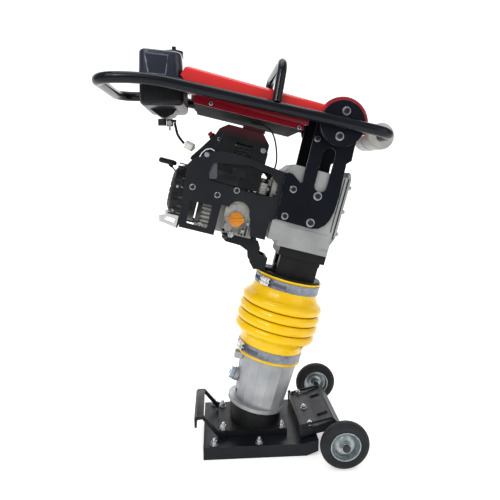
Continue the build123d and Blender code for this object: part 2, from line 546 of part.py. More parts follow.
def make_hoses():
    save("fuel_hose", cord(hose_path(FUEL), 3.6))
    a, ax = Vector(*FUEL[-1]), Vector(29, -6, -15).normalized()
    cup = rod(tuple(a + ax * 7), tuple(a + ax * 30), 11.5)
    save("fuel_filter", cup + rod(tuple(a + ax * 4.5), tuple(a + ax * 34), 5))
    cable = [(-20, -60, 963), (14, -54, 955), (40, -46, 930)]
    cable += [(52, -42, 880), (50, -44, 842), (34, -52, 815)]
    save("throttle_cable", cord(hose_path(cable), 2.4))
    x, z, near, far = THROTTLE_X, slope_point(THROTTLE_X)[1], RAIL_Y + 26.3, RAIL_Y + 31
    arm = rod((x, near, z), (x, far, z), 9) + box(x - 62, x, near, far, z + 1, z + 8)
    knob = rod((x - 62, RAIL_Y + 22, z + 4.5), (x - 62, RAIL_Y + 38, z + 4.5), 7)
    save("throttle_lever", arm + knob)


def make_wheels():
    web = [(118, SOLE_H), (118, 74), (172, 81), (222, 98), (241, 86), (238, 81)]
    web += [(221, 92.5), (173, 75.5), (123, 69), (123, SOLE_H)]
    body = plate(web, -118, 118)
    side = [(123, 40), (127, 44), (170, 56), (214, 66), (238, 60)]
    side += [(240, 84), (221, 94), (173, 77), (121, 71)]
    for y in (-118, 113):
        body += plate(side, y, y + 5)
    body += ring((AXLE_X, -118, AXLE_Z), (AXLE_X, 118, AXLE_Z), 14, AXLE_R + RUN)
    body -= rod((AXLE_X, -130, AXLE_Z), (AXLE_X, 130, AXLE_Z), AXLE_R + RUN)
    save("wheel_bracket", body)
    half = TRACK / 2 + WHEEL_W / 2
    axle = rod((AXLE_X, -half - 2, AXLE_Z), (AXLE_X, half + 2, AXLE_Z), AXLE_R)
    for side in (-1, 1):
        axle += rod((AXLE_X, side * (half + 2), AXLE_Z), (AXLE_X, side * (half + 6), AXLE_Z), 11)
    save("axle", axle)
    for side, name in ((-1, "right"), (1, "left")):
        mid, w = side * TRACK / 2, WHEEL_W / 2
        tyre = rod((AXLE_X, mid - w, AXLE_Z), (AXLE_X, mid + w, AXLE_Z), WHEEL_R)
        tyre = fillet(tyre.edges().filter_by(GeomType.CIRCLE), 9)
        tyre -= rod((AXLE_X, mid - w, AXLE_Z), (AXLE_X, mid + w, AXLE_Z), 36)
        save("tyre_" + name, tyre)
        rim = ring((AXLE_X, mid - w, AXLE_Z), (AXLE_X, mid + w, AXLE_Z), 36, 32)
        rim += rod((AXLE_X, mid - 3, AXLE_Z), (AXLE_X, mid + 3, AXLE_Z), 33)
        rim += rod((AXLE_X, mid - w - 1, AXLE_Z), (AXLE_X, mid + w + 1, AXLE_Z), 13)
        rim -= rod((AXLE_X, mid - 40, AXLE_Z), (AXLE_X, mid + 40, AXLE_Z), AXLE_R + RUN)
        save("rim_" + name, rim)


make_foot()
make_barrel()
make_bellows()
make_ram()
make_guide()
make_case()
make_train()
make_engine()
make_starter()
make_plates()
make_handle()
make_hood()
make_tank()
make_hoses()
make_wheels()
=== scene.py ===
"""Jumping jack rammer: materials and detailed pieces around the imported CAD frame.

Metres, row frame: +Z up, +X forward, +Y to the operator's left. Most parts above the foot are
worked out in the stem frame (x forward and square to the stem, y left, z up along the stem).
"""

import bmesh
import bpy
import math
from mathutils import Matrix, Vector


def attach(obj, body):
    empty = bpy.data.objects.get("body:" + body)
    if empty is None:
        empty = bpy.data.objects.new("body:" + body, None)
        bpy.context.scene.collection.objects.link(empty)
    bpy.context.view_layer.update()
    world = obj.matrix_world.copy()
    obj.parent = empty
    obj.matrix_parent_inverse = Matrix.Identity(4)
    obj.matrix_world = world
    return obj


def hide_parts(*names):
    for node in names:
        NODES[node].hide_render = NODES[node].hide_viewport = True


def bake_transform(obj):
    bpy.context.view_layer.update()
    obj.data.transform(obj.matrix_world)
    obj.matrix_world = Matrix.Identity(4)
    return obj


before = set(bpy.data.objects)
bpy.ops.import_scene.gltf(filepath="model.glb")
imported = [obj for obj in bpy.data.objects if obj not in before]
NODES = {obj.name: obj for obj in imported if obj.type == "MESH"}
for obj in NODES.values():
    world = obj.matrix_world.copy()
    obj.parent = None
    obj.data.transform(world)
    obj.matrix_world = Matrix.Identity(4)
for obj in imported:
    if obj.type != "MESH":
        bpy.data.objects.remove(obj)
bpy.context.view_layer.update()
MM = 0.001

# ---- driving dimensions, the same as the CAD's, in mm and degrees ----
LEAN, STEM_X = 14.5, -36.0
SHAFT_S = 705.0
CUFF_R, BAND_R = 99.0, 100.5
WHEEL_R, WHEEL_W, TRACK = 70.5, 36.0, 416.0
AXLE_X, AXLE_Z = 230.0, 70.7
STEM = Matrix.Translation((STEM_X * MM, 0, 0)) @ Matrix.Rotation(math.radians(LEAN), 4, "Y")
TURN_Y = Matrix.Rotation(math.radians(-90), 4, "X")     # a lathe's z axis onto +y
TURN_X = Matrix.Rotation(math.radians(90), 4, "Y")      # a lathe's z axis onto +x


# ---- materials ----
def rgb(r, g, b):
    """Linear colour of a 0-255 sRGB one."""
    out = []
    for c in (r, g, b):
        c /= 255
        out.append(c / 12.92 if c <= 0.04045 else ((c + 0.055) / 1.055) ** 2.4)
    return (*out, 1.0)


class Mat:
    """A Principled material with node helpers; every noise reads object coordinates."""

    def __init__(self, name, metal=0.0, coat=0.0, coat_rough=0.05, ior=1.5, sheen=0.0, spec=0.5):
        self.m = bpy.data.materials.new(name)
        self.m.use_nodes = True
        self.t = self.m.node_tree
        self.p = self.t.nodes["Principled BSDF"]
        self.p.inputs["Metallic"].default_value = metal
        self.p.inputs["Coat Weight"].default_value = coat
        self.p.inputs["Coat Roughness"].default_value = coat_rough
        self.p.inputs["IOR"].default_value = ior
        self.p.inputs["Specular IOR Level"].default_value = spec
        self.p.inputs["Sheen Weight"].default_value = sheen
        self.co = self.node("ShaderNodeTexCoord").outputs["Object"]

    def node(self, kind, **sets):
        n = self.t.nodes.new(kind)
        for k, v in sets.items():
            setattr(n, k, v)
        return n

    def link(self, a, b):
        self.t.links.new(a, b)

    def noise(self, scale, detail=3.0, stretch=None, rough=0.5):
        n = self.node("ShaderNodeTexNoise")
        n.inputs["Scale"].default_value = scale
        n.inputs["Detail"].default_value = detail
        n.inputs["Roughness"].default_value = rough
        source = self.co
        if stretch:
            mapping = self.node("ShaderNodeMapping")
            mapping.inputs["Scale"].default_value = stretch
            self.link(source, mapping.inputs["Vector"])
            source = mapping.outputs["Vector"]
        self.link(source, n.inputs["Vector"])
        return n.outputs["Fac"]

    def ramp(self, value, low, high, a=0.0, b=1.0):
        n = self.node("ShaderNodeMapRange")
        for key, v in (("From Min", low), ("From Max", high), ("To Min", a), ("To Max", b)):
            n.inputs[key].default_value = v
        self.link(value, n.inputs["Value"])
        return n.outputs["Result"]

    def mix(self, factor, a, b):
        n = self.node("ShaderNodeMix", data_type="RGBA")
        self.link(factor, n.inputs["Factor"])
        for socket, c in ((n.inputs["A"], a), (n.inputs["B"], b)):
            if isinstance(c, tuple):
                socket.default_value = c
            else:
                self.link(c, socket)
        return n.outputs["Result"]

    def colour(self, out):
        self.link(out, self.p.inputs["Base Color"])

    def rough(self, low, high, scale=40, stretch=None):
        out = self.ramp(self.noise(scale, 4, stretch), 0.3, 0.7, low, high)
        self.link(out, self.p.inputs["Roughness"])

    def bump(self, height, strength=0.2, distance=0.0005, edge=0.0):
        n = self.node("ShaderNodeBump")
        n.inputs["Strength"].default_value = strength
        n.inputs["Distance"].default_value = distance
        self.link(height, n.inputs["Height"])
        if edge:
            self.link(self.bevel(edge), n.inputs["Normal"])
        self.link(n.outputs["Normal"], self.p.inputs["Normal"])

    def bevel(self, radius):
        n = self.node("ShaderNodeBevel", samples=4)
        n.inputs["Radius"].default_value = radius
        return n.outputs["Normal"]

    def edges(self, radius, low=0.9, high=0.985):
        """1 on sharp edges, 0 on flats: how far the rounded normal leaves the true one."""
        dot = self.node("ShaderNodeVectorMath", operation="DOT_PRODUCT")
        geo = self.node("ShaderNodeNewGeometry")
        self.link(self.bevel(radius), dot.inputs[0])
        self.link(geo.outputs["Normal"], dot.inputs[1])
        return self.ramp(dot.outputs["Value"], high, low)

    def stem_parts(self):
        """t, y and s of the point in the stem frame, in metres."""
        move = self.node("ShaderNodeVectorMath", operation="ADD")
        self.link(self.co, move.inputs[0])
        move.inputs[1].default_value = (-STEM_X * MM, 0, 0)
        lean = self.node("ShaderNodeVectorRotate", rotation_type="Y_AXIS")
        lean.inputs["Angle"].default_value = math.radians(-LEAN)
        split = self.node("ShaderNodeSeparateXYZ")
        self.link(move.outputs["Vector"], lean.inputs["Vector"])
        self.link(lean.outputs["Vector"], split.inputs["Vector"])
        return [split.outputs[k] for k in "XYZ"]

    def size(self, value):
        n = self.node("ShaderNodeMath", operation="ABSOLUTE")
        self.link(value, n.inputs[0])
        return n.outputs["Value"]

    def times(self, a, b):
        n = self.node("ShaderNodeMath", operation="MULTIPLY")
        self.link(a, n.inputs[0])
        self.link(b, n.inputs[1])
        return n.outputs["Value"]


def painted(name, base, light, rough=(0.3, 0.42), coat=0.0, wear_and_highlight=None, peel=350, bump=0.08, edge=0.0012,
            spec=0.2):
    """Sprayed enamel or powder coat, with orange peel, faint dust and, if asked, patchy pale edges as a
    painted highlight.
    """
    m = Mat(name, coat=coat, spec=spec)
    out = m.mix(m.ramp(m.noise(9, 5), 0.35, 0.75), base, light)
    # pale patches along the edges: a painted highlight
    if wear_and_highlight:
        edge_highlight = m.times(m.edges(0.0009), m.ramp(m.noise(70, 5), 0.42, 0.62))
        out = m.mix(edge_highlight, out, wear_and_highlight)
    m.colour(out)
    m.rough(*rough, 25)
    m.bump(m.noise(peel, 2), bump, 0.0004, edge)
    return m.m


def cast(name, base, dark, rough=(0.42, 0.6), metal=0.65, grain=900, bump=0.35, edge=0.0018, spec=0.5,
         edge_shade=None):
    """Sand-cast or die-cast metal: a fine grain, cloudy tone and, if asked, dark lines on edges and creases
    as painted shade.
    """
    m = Mat(name, metal=metal, spec=spec)
    cloud = m.mix(m.ramp(m.noise(14, 6), 0.3, 0.7), base, dark)
    specks_and_edge_shade = m.mix(m.ramp(m.noise(600, 3), 0.62, 0.78), cloud, dark)
    # dark lines along edges and creases: painted shade
    if edge_shade:
        specks_and_edge_shade = m.mix(m.edges(0.0012, 0.965, 0.998), specks_and_edge_shade, edge_shade)
    m.colour(specks_and_edge_shade)
    m.rough(*rough, 60)
    m.bump(m.noise(grain, 4, rough=0.7), bump, 0.0006, edge)
    return m.m


def machined(name, base, dark, rough=(0.2, 0.34), metal=1.0, stretch=(1, 1, 40), edge=0.0006):
    """Plated or turned metal with faint lines."""
    m = Mat(name, metal=metal)
    m.colour(m.mix(m.ramp(m.noise(120, 4), 0.35, 0.8), base, dark))
    m.rough(*rough, 90)
    m.bump(m.noise(150, 4, stretch), 0.12, 0.0002, edge)
    return m.m


def moulded(name, base, light, rough=(0.38, 0.52), grain=1400, bump=0.25, edge=0.0012, wear_and_highlight=None, coat=0.0,
            spec=0.2, edge_mark_radius=0.0012):
    """Moulded plastic or rubber with a fine texture and, if asked, paler edges: rubbed wear on most parts, a
    painted highlight on the tank's upper half, painted glints on the gloss black.
    """
    m = Mat(name, coat=coat, spec=spec)
    out = m.mix(m.ramp(m.noise(18, 5), 0.3, 0.8), base, light)
    # pale patches along the edges: rubbed wear on most parts, a painted highlight on the tank's upper half
    # and the gloss black
    if wear_and_highlight:
        out = m.mix(m.times(m.edges(edge_mark_radius), m.ramp(m.noise(40, 4), 0.3, 0.6)), out, wear_and_highlight)
    m.colour(out)
    m.rough(*rough, 30)
    m.bump(m.noise(grain, 3), bump, 0.0003, edge)
    return m.m


BLACK, SOOT = rgb(13, 14, 17), rgb(24, 26, 29)
ZINC, ZINC_DARK = rgb(214, 216, 218), rgb(158, 162, 166)
MATS = {
    # foot_black: its pale edge patches are a painted highlight
    "foot_black": painted("foot_black", rgb(14, 16, 22), rgb(26, 28, 34), (0.3, 0.44),
                          wear_and_highlight=rgb(104, 108, 114)),
    "frame_black": painted("frame_black", rgb(10, 12, 18), rgb(17, 20, 28), (0.12, 0.2), coat=0.15,
                           spec=0.14),
    # plate_navy: its pale edge patches are a painted highlight
    "plate_navy": painted("plate_navy", rgb(9, 12, 20), rgb(13, 17, 27), (0.36, 0.48), peel=900,
                          bump=0.15, spec=0.1, wear_and_highlight=rgb(150, 154, 162)),
    "guard_black": painted("guard_black", rgb(22, 23, 25), rgb(31, 33, 35), (0.42, 0.55), peel=900,
                           bump=0.18, spec=0.14),
    "black_cast": cast("black_cast", rgb(12, 13, 15), rgb(22, 23, 25), (0.38, 0.52), 0.0, spec=0.2),
    # the dark edge colours of aluminium, case_alu and engine_alu are painted shade along edges and creases
    "aluminium": cast("aluminium", rgb(186, 188, 190), rgb(150, 153, 156), edge_shade=rgb(70, 72, 74)),
    "case_alu": cast("case_alu", rgb(160, 162, 160), rgb(138, 140, 140), (0.45, 0.62), 0.4,
                     edge_shade=rgb(92, 94, 94)),
    "engine_alu": cast("engine_alu", rgb(174, 173, 168), rgb(130, 129, 125), (0.45, 0.62), 0.3,
                       edge_shade=rgb(60, 60, 58)),
    "zinc": machined("zinc", ZINC, ZINC_DARK),
    "rim_zinc": machined("rim_zinc", rgb(168, 176, 178), rgb(120, 130, 134), (0.3, 0.46)),
    "stud_zinc": machined("stud_zinc", rgb(190, 194, 200), rgb(120, 124, 130), (0.22, 0.4)),
    "bright_zinc": machined("bright_zinc", rgb(240, 241, 242), rgb(204, 207, 210), (0.26, 0.4), 0.45),
    # gloss_black: its pale edge specks are painted glints
    "gloss_black": moulded("gloss_black", rgb(8, 9, 11), rgb(20, 22, 26), (0.1, 0.2), coat=0.5, spec=0.4,
                           wear_and_highlight=rgb(120, 124, 130)),
    "panel_grey": painted("panel_grey", rgb(66, 70, 76), rgb(90, 94, 100), (0.36, 0.5)),
    "steel": machined("steel", rgb(150, 152, 156), rgb(112, 114, 118), (0.24, 0.4)),
    "dark_steel": machined("dark_steel", rgb(48, 48, 50), rgb(70, 70, 72), (0.35, 0.5), 0.8),
    "band": machined("band", rgb(140, 146, 156), rgb(104, 110, 120), (0.3, 0.44), stretch=(1, 1, 60)),
    "black_plastic": moulded("black_plastic", BLACK, SOOT, wear_and_highlight=rgb(66, 68, 72)),
    "tank_lower": moulded("tank_lower", rgb(14, 15, 18), rgb(23, 25, 29), (0.3, 0.4), wear_and_highlight=rgb(84, 88, 96)),
    # tank_upper: the wide blue-white lines along its edges are a painted highlight
    "tank_upper": moulded("tank_upper", rgb(18, 23, 36), rgb(28, 34, 50), (0.2, 0.3), coat=0.3, spec=0.35,
                          wear_and_highlight=rgb(168, 182, 206), edge_mark_radius=0.0032),
    "rubber": moulded("rubber", rgb(18, 19, 21), rgb(30, 31, 33), (0.6, 0.76), 900, 0.3),
    "tyre": moulded("tyre", rgb(27, 29, 32), rgb(42, 44, 47), (0.55, 0.72), 700, 0.4),
    "roller": moulded("roller", rgb(184, 186, 182), rgb(158, 160, 157), (0.4, 0.55), 500, spec=0.5),
    "filter_white": moulded("filter_white", rgb(222, 222, 216), rgb(196, 196, 190), (0.3, 0.42),
                            coat=0.3, spec=0.5),
    "orange": moulded("orange", rgb(206, 128, 0), rgb(158, 84, 0), (0.28, 0.4), spec=0.5),
    "switch_red": moulded("switch_red", rgb(136, 18, 30), rgb(110, 14, 24), (0.3, 0.4)),
    "hose": moulded("hose", rgb(22, 23, 25), rgb(34, 35, 37), (0.42, 0.56), 800),
    "rope": moulded("rope", rgb(40, 40, 42), rgb(76, 76, 78), (0.7, 0.85), 900, 0.6),
}


def glass_blue():
    m = Mat("sight_blue", coat=0.8)
    m.colour(m.mix(m.ramp(m.noise(60, 3), 0.3, 0.7), rgb(136, 150, 168), rgb(168, 180, 194)))
    m.rough(0.08, 0.16, 40)
    m.bump(m.noise(300, 2), 0.05, 0.0002, 0.0008)
    return m.m


def shroud_black():
    """Black moulding whose crown turns a dark wine red, faded into the black."""
    m = Mat("shroud_black", spec=0.25)
    base = m.mix(m.ramp(m.noise(18, 5), 0.3, 0.8), rgb(5, 7, 10), rgb(14, 17, 22))
    high = m.ramp(m.stem_parts()[2], 0.886, 0.914)
    m.colour(m.mix(high, base, rgb(60, 10, 20)))
    m.rough(0.26, 0.4, 30)
    m.bump(m.noise(1400, 3), 0.22, 0.0003, 0.0025)
    return m.m


def hood_red():
    """Gloss red enamel, darkened to a deeper crimson low on the sides and round the front curve as painted
    shade.
    """
    m = Mat("hood_red", coat=0.6, spec=0.4)
    t, _, s = m.stem_parts()
    red = m.mix(m.ramp(m.noise(9, 5), 0.35, 0.75), rgb(200, 22, 24), rgb(210, 32, 32))
    # low on the sides the red turns crimson: painted shade
    red = m.mix(m.ramp(s, 0.992, 0.982), red, rgb(112, 8, 24))
    # round the front curve the red turns crimson: painted shade
    m.colour(m.mix(m.ramp(t, -0.052, -0.046), red, rgb(150, 12, 34)))
    m.rough(0.18, 0.26, 25)
    m.bump(m.noise(350, 2), 0.08, 0.0004, 0.0008)
    return m.m


def pan_black():
    """The pan under the hood: red turned-up sides darkened to crimson as painted shade, black underside, a
    pale line along the edge as a painted highlight.
    """
    m = Mat("pan_black", spec=0.08)
    y = m.size(m.stem_parts()[1])
    out = m.mix(m.ramp(m.noise(30, 4), 0.3, 0.7), rgb(10, 11, 13), rgb(20, 21, 24))
    # a pale line along the edge: painted highlight
    out = m.mix(m.ramp(y, 0.1345, 0.1355), out, rgb(150, 150, 152))
    # the turned-up sides in crimson: red paint with painted shade
    out = m.mix(m.ramp(y, 0.1385, 0.1388), out, rgb(108, 8, 24))
    m.colour(out)
    m.rough(0.7, 0.85, 40)
    m.bump(m.noise(700, 3), 0.15, 0.0003, 0.0006)
    return m.m


def guard_paint():
    """Black powder coat; the two rear tabs of the guards are left bare and pale."""
    m = Mat("guard_paint", spec=0.14)
    out = m.mix(m.ramp(m.noise(9, 5), 0.35, 0.75), rgb(23, 25, 28), rgb(32, 34, 38))
    out = m.mix(m.times(m.edges(0.0009), m.ramp(m.noise(70, 5), 0.42, 0.62)), out, rgb(84, 86, 90))
    t, _, s = m.stem_parts()
    tab = m.times(m.ramp(t, -0.3625, -0.3635), m.ramp(s, 0.6455, 0.6445))
    m.colour(m.mix(tab, out, rgb(186, 187, 186)))
    m.rough(0.42, 0.55, 25)
    m.bump(m.noise(900, 2), 0.18, 0.0004, 0.0012)
    return m.m


MATS["sight_blue"] = glass_blue()
MATS["shroud_black"] = shroud_black()
MATS["hood_red"] = hood_red()
MATS["pan_black"] = pan_black()
MATS["guard_paint"] = guard_paint()

FINISH = {
    "foot_black": "sole rear_handle wheel_bracket",
    "black_cast": "foot_flange guide_cylinder",
    "aluminium": "lower_cylinder",
    "sight_blue": "sight_glass",
    "case_alu": "gearcase gearcase_cover",
    "engine_alu": "engine_block engine_cylinder carburettor",
    "zinc": "foot_nuts fuel_tap_lever rim_right rim_left",
    "band": "lower_clamp upper_clamp",
    "steel": "spring_cylinder ram_piston ram_springs bull_gear pinion_shaft connecting_rod engine_shaft"
             " flywheel_fan shaft_bearings",
    "dark_steel": "upper_bolts handle_bolts muffler axle fuel_tap",
    "guard_black": "engine_strut",
    "guard_paint": "guard_plates",
    "plate_navy": "mount_plates handle_plates",
    "frame_black": "handle_frame lifting_hoop",
    "pan_black": "hood_underplate",
    "hood_red": "handle_hood",
    "black_plastic": "recoil_housing starter_grip ignition_parts choke_lever throttle_lever fuel_cap",
    "shroud_black": "engine_shroud",
    "tank_upper": "tank_upper",
    "tank_lower": "tank_lower",
    "rubber": "rubber_mounts bellows",
    "tyre": "tyre_right tyre_left",
    "roller": "front_roller",
    "filter_white": "fuel_filter",
    "orange": "oil_filler_cap",
    "switch_red": "stop_switch_knob",
    "hose": "fuel_hose throttle_cable",
    "rope": "starter_rope",
}


def finish_nodes():
    for key, names in FINISH.items():
        for name in names.split():
            data = NODES[name].data
            data.materials.clear()
            data.materials.append(MATS[key])


finish_nodes()


# ---- mesh helpers ----
def build(name, verts, faces, body, material, smooth=True, sharp=None):
    mesh = bpy.data.meshes.new(name)
    mesh.from_pydata([tuple(v) for v in verts], [], faces)
    mesh.validate()
    mesh.polygons.foreach_set("use_smooth", [smooth] * len(mesh.polygons))
    if sharp is not None:
        mesh.set_sharp_from_angle(angle=math.radians(sharp))
    mesh.materials.append(MATS[material] if isinstance(material, str) else material)
    obj = bpy.data.objects.new(name, mesh)
    bpy.context.scene.collection.objects.link(obj)
    if body:
        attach(obj, body)
    return obj


def lathe(profile, matrix, count=96):
    """Vertices and faces of a closed (radius, height) outline in mm turned about z."""
    verts, faces = [], []
    n = len(profile)
    for k in range(count):
        a = 2 * math.pi * k / count
        for r, h in profile:
            verts.append(matrix @ (Vector((r * math.cos(a), r * math.sin(a), h)) * MM))
    for k in range(count):
        k2 = (k + 1) % count
        for i in range(n):
            j = (i + 1) % n
            faces.append((k * n + i, k2 * n + i, k2 * n + j, k * n + j))
    return verts, faces


def rounded(outline, radius, steps=4):
    """The closed outline with each corner turned into a small arc, in the outline's own units."""
    out = []
    n = len(outline)
    for i in range(n):
        p, a, b = (Vector(outline[j % n]) for j in (i, i - 1, i + 1))
        r = min(radius, (a - p).length * 0.45, (b - p).length * 0.45)
        s, e = p + (a - p).normalized() * r, p + (b - p).normalized() * r
        for k in range(steps + 1):
            t = k / steps
            out.append(tuple(s.lerp(p, t).lerp(p.lerp(e, t), t)))
    return out


class Kit:
    """Collects shapes of several materials into one mesh piece."""

    def __init__(self):
        self.verts, self.faces, self.slots, self.mats = [], [], [], []

    def add(self, shape, material):
        verts, faces = shape
        if material not in self.mats:
            self.mats.append(material)
        base = len(self.verts)
        self.verts += list(verts)
        self.faces += [tuple(base + i for i in f) for f in faces]
        self.slots += [self.mats.index(material)] * len(faces)

    def piece(self, name, body, nodes=(), sharp=35):
        obj = build(name, self.verts, self.faces, body, self.mats[0], True, None)
        for extra in self.mats[1:]:
            obj.data.materials.append(MATS[extra])
        obj.data.polygons.foreach_set("material_index", self.slots)
        obj.data.set_sharp_from_angle(angle=math.radians(sharp))
        if nodes:
            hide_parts(*nodes)
        return obj


def facing(at, axis, scale=MM):
    """A matrix that stands z along axis at a point, both in mm of the frame it is used in."""
    turn = Vector(axis).normalized().to_track_quat("Z", "Y").to_matrix().to_4x4()
    return Matrix.Translation(Vector(at) * scale) @ turn


def brick(matrix, size, bevel=1.0, steps=2):
    """A bevelled box of a size in mm, centred on the matrix."""
    bm = bmesh.new()
    bmesh.ops.create_cube(bm, size=1)
    for v in bm.verts:
        v.co = Vector([c * d for c, d in zip(v.co, size)])
    bmesh.ops.bevel(bm, geom=list(bm.edges), offset=bevel, segments=steps, affect="EDGES", profile=0.5)
    verts = [matrix @ (v.co * MM) for v in bm.verts]
    faces = [tuple(v.index for v in f.verts) for f in bm.faces]
    bm.free()
    return verts, faces


def prism(matrix, across, height, chamfer=1.0, socket=0.0):
    """A hexagon head with a chamfered rim and, if asked, a hexagon socket, in mm."""
    rings, r = [], across / 2 / math.cos(math.pi / 6)
    flat = across / 2
    spec = [(r, 0.0, 6), (r, height - chamfer, 6), (flat * 0.94, height, 24)]
    inner = socket / 2 / math.cos(math.pi / 6) if socket else flat * 0.5
    spec += [(inner, height, 24 if not socket else 6)]
    if socket:
        spec += [(inner, height * 0.35, 6)]
    verts, faces = [], []
    for radius, z, sides in spec:
        for k in range(24):
            a = 2 * math.pi * k / 24
            step = math.pi / 3
            q = (a + 1e-9) % step - step / 2
            d = radius if sides == 24 else radius * math.cos(math.pi / 6) / math.cos(q)
            verts.append(matrix @ (Vector((d * math.cos(a), d * math.sin(a), z)) * MM))
        rings.append(len(verts) - 24)
    for a, b in zip(rings, rings[1:]):
        for k in range(24):
            j = (k + 1) % 24
            faces.append((a + k, a + j, b + j, b + k))
    faces.append(tuple(range(rings[-1], rings[-1] + 24)))
    faces.append(tuple(reversed(range(24))))
    return verts, faces


def drum(radius, height):
    """The outline of a solid disc or pin for a lathe, in mm."""
    return [(0.01, 0), (radius, 0), (radius, height), (0.01, height)]


def moved(x, y, z):
    """A shift in mm."""
    return Matrix.Translation(Vector((x, y, z)) * MM)


def runs(points):
    """Middle, turn in the stem's side plane and length of each run of a (t, s) line."""
    for (t0, s0), (t1, s1) in zip(points, points[1:]):
        run = Vector((t1 - t0, 0, s1 - s0))
        turn = Matrix.Rotation(math.atan2(run.x, run.z), 4, "Y")
        yield (t0 + t1) / 2, (s0 + s1) / 2, turn, run.length, s0


def islands(node):
    """The separate solids of a CAD node, each a list of points in metres."""
    mesh = NODES[node].data
    bm = bmesh.new()
    bm.from_mesh(mesh)
    bmesh.ops.remove_doubles(bm, verts=bm.verts, dist=1e-6)
    seen, found = set(), []
    for start in bm.verts:
        if start.index in seen:
            continue
        group, stack = [], [start]
        seen.add(start.index)
        while stack:
            v = stack.pop()
            group.append(v.co.copy())
            for e in v.link_edges:
                w = e.other_vert(v)
                if w.index not in seen:
                    seen.add(w.index)
                    stack.append(w)
        found.append(group)
    bm.free()
    return found


def measure(points, axis):
    """Foot point on the axis, length and largest radius of a turned solid, lengths in mm."""
    axis = Vector(axis).normalized()
    along = [p.dot(axis) for p in points]
    low, high = min(along), max(along)
    flat = [p - axis * a for p, a in zip(points, along)]
    lo = Vector([min(p[i] for p in flat) for i in range(3)])
    hi = Vector([max(p[i] for p in flat) for i in range(3)])
    middle = (lo + hi) / 2
    radius = max((p - middle).length for p in flat)
    return middle + axis * low, (high - low) / MM, radius / MM


# ---- bolts and nuts: one detailed fastener for each solid of the CAD's ----
STEM_FORWARD = STEM.to_3x3() @ Vector((1, 0, 0))


def bolt(kit, foot, axis, length, radius, washer="stud_zinc", head="dark_steel"):
    """A socket-head bolt on a wide bright washer."""
    place = facing(foot, axis, 1)
    r = radius
    kit.add(lathe([(r * 0.3, 0), (r, 0), (r, 1.3), (r - 0.7, 2.0), (r * 0.3, 2.0)], place, 40), washer)
    cap, h = r * 0.66, length
    ring = [(cap * 0.52, 1.9), (cap, 1.9), (cap, h - 1.0), (cap - 0.9, h), (cap * 0.52, h)]
    kit.add(lathe(ring, place, 36), head)
    kit.add(lathe([(0.01, 2.2), (cap * 0.53, 2.2), (cap * 0.53, 2.6), (0.01, 2.6)], place, 24), head)


def stud(kit, foot, axis, length, radius):
    """Washer, chamfered nut and the threaded end of a stud."""
    place = facing(foot, axis, 1)
    r = radius
    kit.add(lathe([(r * 0.3, 0), (r, 0), (r, 1.3), (r - 0.7, 2.0), (r * 0.3, 2.0)], place, 40), "stud_zinc")
    across = r / 0.68
    nut = length * 0.5
    kit.add(prism(place @ Matrix.Translation((0, 0, 2 * MM)), across, nut, 1.4), "stud_zinc")
    thread, z, shank = [(0.01, 2.0)], nut + 1, across * 0.29
    while z < length - 1.2:
        thread += [(shank - 0.5, z), (shank, z + 0.6)]
        z += 1.2
    thread += [(shank - 0.9, length), (0.01, length)]
    kit.add(lathe(thread, place, 28), "stud_zinc")


def make_fasteners():
    sets = (("upper_bolts", "upper_bolt_set", "upper"), ("handle_bolts", "handle_bolt_set", "handle"))
    for node, name, body in sets:
        kit = Kit()
        for points in islands(node):
            middle = sum(points, Vector()) / len(points)
            local = STEM.inverted() @ middle
            side = 1.0 if middle.y > 0 else -1.0
            cover = local.x > 80 * MM and abs(middle.y) < 0.08
            axis = STEM_FORWARD if cover else Vector((0, side, 0))
            foot, length, radius = measure(points, axis)
            if length > 15:
                kit.add(lathe(rounded(drum(radius, length), 1.2, 2), facing(foot, axis, 1), 36), "steel")
            elif cover:
                place = facing(foot, axis, 1)
                kit.add(lathe([(0.01, 0), (radius, 0), (radius, 1.2), (0.01, 1.6)], place, 32), "stud_zinc")
                kit.add(prism(place, radius / 0.68, length, 1.2), "stud_zinc")
            else:
                bolt(kit, foot, axis, length, radius)
        kit.piece(name, body, (node,))
    kit = Kit()
    for points in islands("foot_nuts"):
        middle = sum(points, Vector()) / len(points)
        axis = Vector((-7, 0, 54)) if middle.x > 0.12 else Vector((0, 0, 1))
        foot, length, radius = measure(points, axis)
        stud(kit, foot, axis, length, radius)
    kit.piece("foot_stud_set", "foot", ("foot_nuts",))


def make_handle_top():
    """The flat strip that widens the rear handle's top bar forward, which the CAD doesn't have."""
    kit = Kit()
    kit.add(brick(moved(-179, 0, 109.5), (22, 176, 5.6), 1.2), "foot_black")
    kit.piece("rear_handle_top", "foot", ())


make_fasteners()
make_handle_top()


